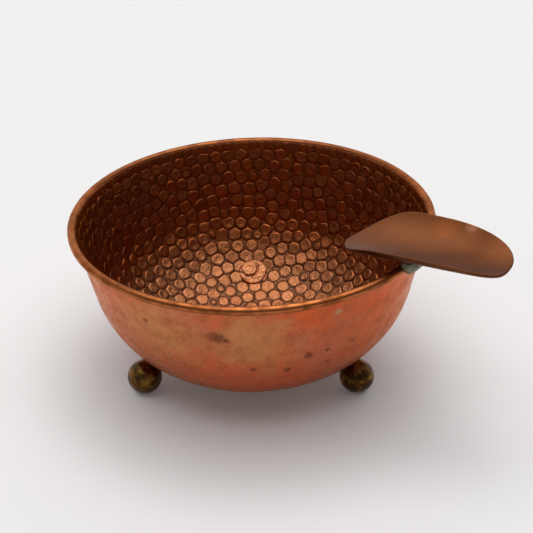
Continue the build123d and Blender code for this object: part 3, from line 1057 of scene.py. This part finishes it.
def on_rest(along, across):
    """A place on top of the rest, `along` mm from its inner tip and `across` mm from its middle:
    the gutter is an arc, so it rises by the arc's height there."""
    rise = bend_radius - np.sqrt((bend_radius - rest_sheet) ** 2 - across**2)
    return tuple(rest_seat + np.array([along - rest_inside, across, rise]) @ rest_axes)


print("a place half way up the front of the bowl:", np.round(on_bowl(-60, bowl_depth / 2), 1))

# %% Copper outside the bowl
outer_copper, tree, shader = start_metal("bowl_copper_outside")
shader.inputs["Specular Tint"].default_value = tint(1.0, 0.82, 0.70)
wide_cloud = effect(tree, cloud, Size=22.0, Detail=3.0, Low=0.42, High=0.60, Shift=(11.0, 5.0, 3.0))["Mask"]
fine_cloud = effect(tree, cloud, Size=4.0, Detail=6.0, Low=0.38, High=0.66, Shift=(3.0, 50.0, 9.0))["Mask"]
rosy_cloud = effect(tree, cloud, Size=12.0, Detail=5.0, Low=0.46, High=0.60, Shift=(31.0, 9.0, 40.0))["Mask"]
colour = blend(tree, wide_cloud, tint(0.57, 0.125, 0.042), tint(0.46, 0.145, 0.060))
colour = blend_part(tree, rosy_cloud, 0.6, colour, tint(0.54, 0.165, 0.085))
golden, orange = tint(0.54, 0.225, 0.078), tint(0.60, 0.098, 0.024)
rosy, red = tint(0.52, 0.138, 0.068), tint(0.68, 0.125, 0.045)
zones = [
    (on_bowl(-45, 44.7), 11.0, orange, 0.85), (on_bowl(-30, 42.2), 10.0, orange, 0.9),
    (on_bowl(-13, 40.9), 10.0, orange, 0.75), (on_bowl(-43, 19.4), 11.0, orange, 0.75),
    (on_bowl(-69, 44.1), 5.0, orange, 0.5), (on_bowl(-32, 30.7), 9.0, rosy, 0.8),
    (on_bowl(-83, 21.4), 12.0, rosy, 0.6), (on_bowl(-63, 17.8), 12.0, red, 0.8),
    (on_bowl(-92, 35.5), 9.0, golden, 0.9), (on_bowl(-59, 34.2), 8.5, golden, 0.9),
    (on_bowl(157, 30.0), 14.0, golden, 0.8),
    (on_bowl(115, 29.2), 12.0, orange, 0.6), (on_bowl(67, 23.8), 15.0, golden, 0.7),
]
colour = with_spots(tree, colour, zones, border=0.85, ragged=0.95)
colour = blend_part(tree, fine_cloud, 0.36, colour, tint(0.30, 0.090, 0.036))
wipes = effect(tree, wipe, Turn=(0.0, 0.3, 0.5), Width=0.35, Stretch=14.0)["Grain"]
haze = between(tree, wipes, 0.46, 0.66)
colour = blend_part(tree, haze, 0.35, colour, tint(0.62, 0.24, 0.14))
stain, pale = tint(0.10, 0.028, 0.013), tint(0.48, 0.30, 0.18)
stains = [
    (on_bowl(-71, 36.3), 2.0, stain), (on_bowl(-68, 35.4), 0.9, stain), (on_bowl(-96, 37.4), 0.9, stain),
    (on_bowl(-41, 27.5), 1.2, stain), (on_bowl(-48, 22.8), 0.9, stain), (on_bowl(-60, 24.1), 0.7, stain),
    (on_bowl(-33, 23.0), 0.7, stain), (on_bowl(-34, 27.8), 0.6, stain), (on_bowl(-24, 28.0), 0.6, stain),
    (on_bowl(-32, 41.4), 1.1, pale), (on_bowl(130, 27.5), 1.1, stain), (on_bowl(-170, 27.0), 0.8, stain),
]
colour = with_spots(tree, colour, [(*mark, 0.7) for mark in stains], border=0.6, ragged=0.45)
pits = effect(tree, speck, Spacing=3.1, Radius=0.11, Share=0.30)["Mask"]
colour = blend_part(tree, pits, 0.6, colour, tint(0.13, 0.035, 0.015))
bead_colour = blend(tree, fine_cloud, tint(0.42, 0.128, 0.038), tint(0.23, 0.066, 0.020))
# Painted shade: the far side of the bead, away from the camera, is blended to a darker brown.
far_bead_shade = effect(tree, spot, Centre=(-27.0, 46.8, 56.0), Radius=48.0, Border=0.4, Ragged=0.1)["Mask"]
bead_colour = blend_part(tree, far_bead_shade, 0.6, bead_colour, tint(0.16, 0.050, 0.020))
colour = blend(tree, attribute(tree, "bead"), colour, bead_colour)
# Near black where the relief attribute is low: painted shade in the crease under the bead, and dirt in the
# hammer hollows.
colour = blend(tree, between(tree, attribute(tree, "relief"), 0.0, 0.8), tint(0.06, 0.018, 0.008), colour)
tooth = effect(tree, cloud, Size=1.1, Detail=5.0, Low=0.2, High=0.8, Shift=(7.0, 1.0, 2.0))["Grain"]
height = maths(tree, "ADD", maths(tree, "MULTIPLY", tooth, 0.8), maths(tree, "MULTIPLY", wipes, 0.25))
rough = maths(tree, "ADD", 0.30, maths(tree, "MULTIPLY", fine_cloud, 0.16))
finish_metal(tree, shader, colour, rough, 1.0, height, 0.05)

# %% Copper inside the bowl
inner_copper, tree, shader = start_metal("bowl_copper_inside")
shader.inputs["Specular Tint"].default_value = tint(0.90, 0.55, 0.35)
relief, tone = attribute(tree, "relief"), attribute(tree, "tone")
level = add_node(tree, "SeparateXYZ", {0: millimetres(tree)}).outputs[2]
wall = between(tree, level, 10.0, 24.0)
low_colour = blend(tree, tone, tint(0.36, 0.135, 0.056), tint(0.58, 0.230, 0.100))
wall_colour = blend(tree, tone, tint(0.30, 0.070, 0.016), tint(0.44, 0.105, 0.024))
top_colour = blend(tree, wall, low_colour, wall_colour)
grain = effect(tree, cloud, Size=1.3, Detail=4.0, Low=0.35, High=0.65)["Mask"]
top_colour = blend_part(tree, grain, 0.35, top_colour, tint(0.28, 0.095, 0.04))
fine_grain = effect(tree, cloud, Size=0.5, Detail=3.0, Low=0.42, High=0.58, Shift=(5.0, 2.0, 9.0))["Mask"]
top_colour = blend_part(tree, fine_grain, 0.65, top_colour, tint(0.19, 0.062, 0.022))
floor_colour = blend(tree, wall, tint(0.25, 0.105, 0.052), tint(0.24, 0.055, 0.012))
# Painted shade: a near-black brown for the foot of each boss and the narrow grooves, where relief is low; the
# floor colour above is the grooves' own brown.
narrow_groove_shade = blend(tree, wall, tint(0.065, 0.026, 0.013), tint(0.10, 0.022, 0.007))
colour = blend(tree, between(tree, relief, 0.0, 0.42), narrow_groove_shade, floor_colour)
colour = blend(tree, between(tree, relief, 0.5, 0.95), colour, top_colour)
ring_pitch = 0.62           # between the fine rings that a hammer's turned face leaves
rings = maths(tree, "SINE", maths(tree, "MULTIPLY", attribute(tree, "from_middle"), 2 * np.pi / ring_pitch))
ringed = between(tree, tone, 0.25, 0.9)
tooth = effect(tree, cloud, Size=0.7, Detail=5.0, Low=0.2, High=0.8, Shift=(7.0, 1.0, 2.0))["Grain"]
struck_rings = maths(tree, "MULTIPLY", maths(tree, "MULTIPLY", rings, ringed), 0.45)
height = maths(tree, "ADD", maths(tree, "MULTIPLY", tooth, 4.2), struck_rings)
rough = between(tree, relief, 0.1, 1.0, 0.58, 0.36)
finish_metal(tree, shader, colour, rough, 1.0, height, 0.05)

# %% Inside and outside faces take their own copper
bowl_skin.data.materials.append(outer_copper)
bowl_skin.data.materials.append(inner_copper)
faces_inside = np.arange(len(bowl_skin.data.polygons)) < len(inside_cells)
bowl_skin.data.polygons.foreach_set("material_index", faces_inside.astype(np.int32))
bowl_skin.data.update()

# %% [markdown]
# ## Brass, solder and the rest's copper
#
# The balls are brass gone dark: an olive brown film, polished by handling, with the yellow metal
# showing through in places. The rest is smooth brown copper with faint wipe marks and a few
# patches of other tones, two of them painted highlights: a soft light patch in the middle of the
# gutter and a small pink glint near its far edge. Soft solder is a dull grey, and where it meets
# copper and damp it grows a blue-green crust.

# %% Tarnished brass
brass, tree, shader, film, colour = clouded_metal(
    "foot_brass", tint(0.060, 0.026, 0.007), tint(0.24, 0.120, 0.028),
    Size=3.2, Detail=5.0, Low=0.42, High=0.62, Shift=(2.0, 9.0, 4.0),
)
pits = effect(tree, speck, Spacing=1.6, Radius=0.14, Share=0.35)["Mask"]
colour = blend_part(tree, pits, 0.8, colour, tint(0.035, 0.022, 0.010))
rough = maths(tree, "ADD", 0.22, maths(tree, "MULTIPLY", film["Grain"], 0.20))
wear = effect(tree, wipe, Turn=(0.6, 0.2, 0.9), Width=0.25, Stretch=8.0)["Grain"]
finish_metal(tree, shader, colour, rough, 0.95, maths(tree, "ADD", wear, film["Grain"]), 0.03)

# %% Hard solder of the collars
hard_solder, tree, shader, film, colour = clouded_metal(
    "collar_brass", tint(0.09, 0.045, 0.018), tint(0.28, 0.13, 0.045),
    Size=1.8, Detail=5.0, Low=0.40, High=0.62, Shift=(1.0, 3.0, 8.0),
)
finish_metal(tree, shader, colour, 0.45, 0.9, film["Grain"], 0.08)

# %% Copper of the rivets
rivet, tree, shader, film, colour = clouded_metal(
    "rivet_copper", tint(0.30, 0.112, 0.048), tint(0.48, 0.19, 0.083),
    Size=1.5, Detail=5.0, Low=0.38, High=0.66, Shift=(6.0, 3.0, 8.0),
)
finish_metal(tree, shader, colour, 0.36, 1.0, film["Grain"], 0.22)

# %% Copper of the rest
leaf, tree, shader, film, colour = clouded_metal(
    "rest_copper", tint(0.122, 0.039, 0.014), tint(0.165, 0.056, 0.021),
    Size=14.0, Detail=4.0, Low=0.38, High=0.66, Shift=(4.0, 2.0, 6.0),
)
rest_patches_and_highlights = [
    # Painted highlight: a soft lighter patch in the middle of the gutter.
    (on_rest(25.3, 6.1), 7.0, tint(0.19, 0.070, 0.030), 0.4),
    (on_rest(26.4, 10.5), 3.5, tint(0.26, 0.075, 0.020), 0.5),
    (on_rest(44.3, 4.5), 4.5, tint(0.20, 0.066, 0.022), 0.4),
    # Painted highlight: a small pink glint near the far edge of the gutter.
    (on_rest(33.7, 11.9), 1.5, tint(0.40, 0.165, 0.095), 0.5),
    (on_rest(35.6, -9.0), 5.0, tint(0.19, 0.070, 0.030), 0.4),
    (on_rest(12.0, 0.0), 11.0, tint(0.19, 0.066, 0.026), 0.6),
]
colour = with_spots(tree, colour, rest_patches_and_highlights, border=0.6, ragged=0.35)
specks = effect(tree, speck, Spacing=2.6, Radius=0.10, Share=0.25)["Mask"]
colour = blend_part(tree, specks, 0.5, colour, tint(0.12, 0.05, 0.02))
wear = effect(tree, wipe, Turn=(0.0, 0.0, 0.25), Width=0.30, Stretch=16.0)["Grain"]
rough = maths(tree, "ADD", 0.40, maths(tree, "MULTIPLY", film["Grain"], 0.20))
finish_metal(tree, shader, colour, rough, 1.0, maths(tree, "ADD", wear, film["Grain"]), 0.02)

# %% Soft solder with verdigris
soft, tree, shader, crust, colour = clouded_metal(
    "soft_solder", tint(0.215, 0.178, 0.122), tint(0.28, 0.30, 0.205),
    Size=2.2, Detail=6.0, Low=0.44, High=0.58, Shift=(9.0, 2.0, 1.0),
)
dirt = effect(tree, cloud, Size=1.0, Detail=4.0, Low=0.55, High=0.68, Shift=(1.0, 7.0, 3.0))["Mask"]
colour = blend_part(tree, dirt, 0.7, colour, tint(0.07, 0.05, 0.035))
metal = between(tree, crust["Mask"], 0.0, 1.0, 0.75, 0.05)
rough = between(tree, crust["Mask"], 0.0, 1.0, 0.42, 0.8)
finish_metal(tree, shader, colour, rough, metal, crust["Grain"], 0.30)

# %% Wire in the rim
wire, tree, shader, film, colour = clouded_metal(
    "rim_wire", tint(0.20, 0.08, 0.035), tint(0.40, 0.17, 0.08),
    Size=2.0, Detail=4.0, Low=0.40, High=0.60,
)
finish_metal(tree, shader, colour, 0.45, 1.0, film["Grain"], 0.05)
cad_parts["rim_wire"].material_slots[0].material = wire

# %% Each piece takes its finish
finishes = {
    "brass_ball": brass, "solder_collar": hard_solder, "peened_head": rivet,
    "rest_leaf": leaf, "solder_lump": soft,
}
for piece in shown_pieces():
    for start, material in finishes.items():
        if piece.name.startswith(start):
            piece.data.materials.append(material)

# %% [markdown]
# ## Floor, light and camera
#
# The object stands on a wide pale floor in soft light. Copper shows what it reflects, so large
# lights matter more than strong ones: most of the light is a sky that is bright overhead and
# behind, and dim in front, so the bottom of the bowl shines and its walls stay dark. A panel
# overhead and a weak one at the left add soft shadows. The camera stands well back with a long
# lens, above the rim.

# %% Floor
def floor_piece(size, level):
    """A flat square sheet under the object."""
    half = size / 2
    corners = [(-half, -half, level), (half, -half, level), (half, half, level), (-half, half, level)]
    mesh = bpy.data.meshes.new("studio_floor")
    mesh.from_pydata(corners, [], [(0, 1, 2, 3)])
    piece = bpy.data.objects.new("studio_floor", mesh)
    bpy.context.scene.collection.objects.link(piece)
    return piece


floor = floor_piece(6.0, 0.0)
paper, tree, shader = start_metal("studio_paper")
finish_metal(tree, shader, tint(0.73, 0.718, 0.706), 0.7, 0.0)
shader.inputs["Emission Color"].default_value = tint(0.98, 0.97, 0.965)
shader.inputs["Emission Strength"].default_value = 0.06
shader.inputs["Specular IOR Level"].default_value = 0.25
floor.data.materials.append(paper)

# %% Light
world = bpy.data.worlds.new("studio")
bpy.context.scene.world = world
world.use_nodes = True
sky = world.node_tree
way = add_node(sky, "TexCoord").outputs["Generated"]
upwards = add_node(sky, "SeparateXYZ", {0: way}).outputs[2]
back = (-0.5, 0.866, 0.0)   # level, and away from the camera
backwards = add_node(sky, "VectorMath", {0: way, 1: back}, operation="DOT_PRODUCT").outputs["Value"]
overhead = between(sky, upwards, 0.70, 0.92, 0.0, 2.0)
behind = between(sky, backwards, 0.0, 0.9, 0.0, 0.70)
glow = maths(sky, "ADD", maths(sky, "ADD", overhead, behind), 0.16)
seen = add_node(sky, "LightPath").outputs["Is Camera Ray"]
backdrop = 0.82             # how bright the sky looks where the camera sees it
unseen = maths(sky, "MULTIPLY", glow, maths(sky, "SUBTRACT", 1.0, seen))
strength = maths(sky, "ADD", unseen, maths(sky, "MULTIPLY", seen, backdrop))
background = sky.nodes["Background"]
background.inputs["Color"].default_value = (0.98, 0.985, 1.0, 1.0)
sky.links.new(strength, background.inputs["Strength"])


def soft_panel(name, place, target, size, power):
    """A square light that faces a point."""
    light = bpy.data.lights.new(name, "AREA")
    light.shape, light.size, light.energy = "SQUARE", size, power
    piece = bpy.data.objects.new(name, light)
    piece.location = place
    way = np.array(target) - np.array(place)
    piece.rotation_euler = Vector(way).to_track_quat("-Z", "Y").to_euler()
    bpy.context.scene.collection.objects.link(piece)


soft_panel("overhead_panel", (-0.15, 0.30, 1.2), (0, 0, 0.03), 0.5, 2.0)
soft_panel("left_panel", (-0.50, -0.25, 0.28), (-0.02, -0.03, 0.01), 0.4, 0.15)

# %% Camera
target = np.array([3.80, 2.195, 32.06]) * MM
bearing, elevation, distance = np.radians(-60.0), np.radians(30.6), 0.480
way = np.array([np.cos(elevation) * np.cos(bearing), np.cos(elevation) * np.sin(bearing), np.sin(elevation)])
camera_data = bpy.data.cameras.new("studio_camera")
camera_data.lens, camera_data.sensor_width = 108.4, 36.0
camera_data.clip_start, camera_data.clip_end = 0.01, 20.0
camera = bpy.data.objects.new("studio_camera", camera_data)
camera.location = target + way * distance
camera.rotation_euler = Vector(-way).to_track_quat("-Z", "Y").to_euler()
bpy.context.scene.collection.objects.link(camera)
bpy.context.scene.camera = camera
bpy.context.scene.view_settings.view_transform = "Standard"
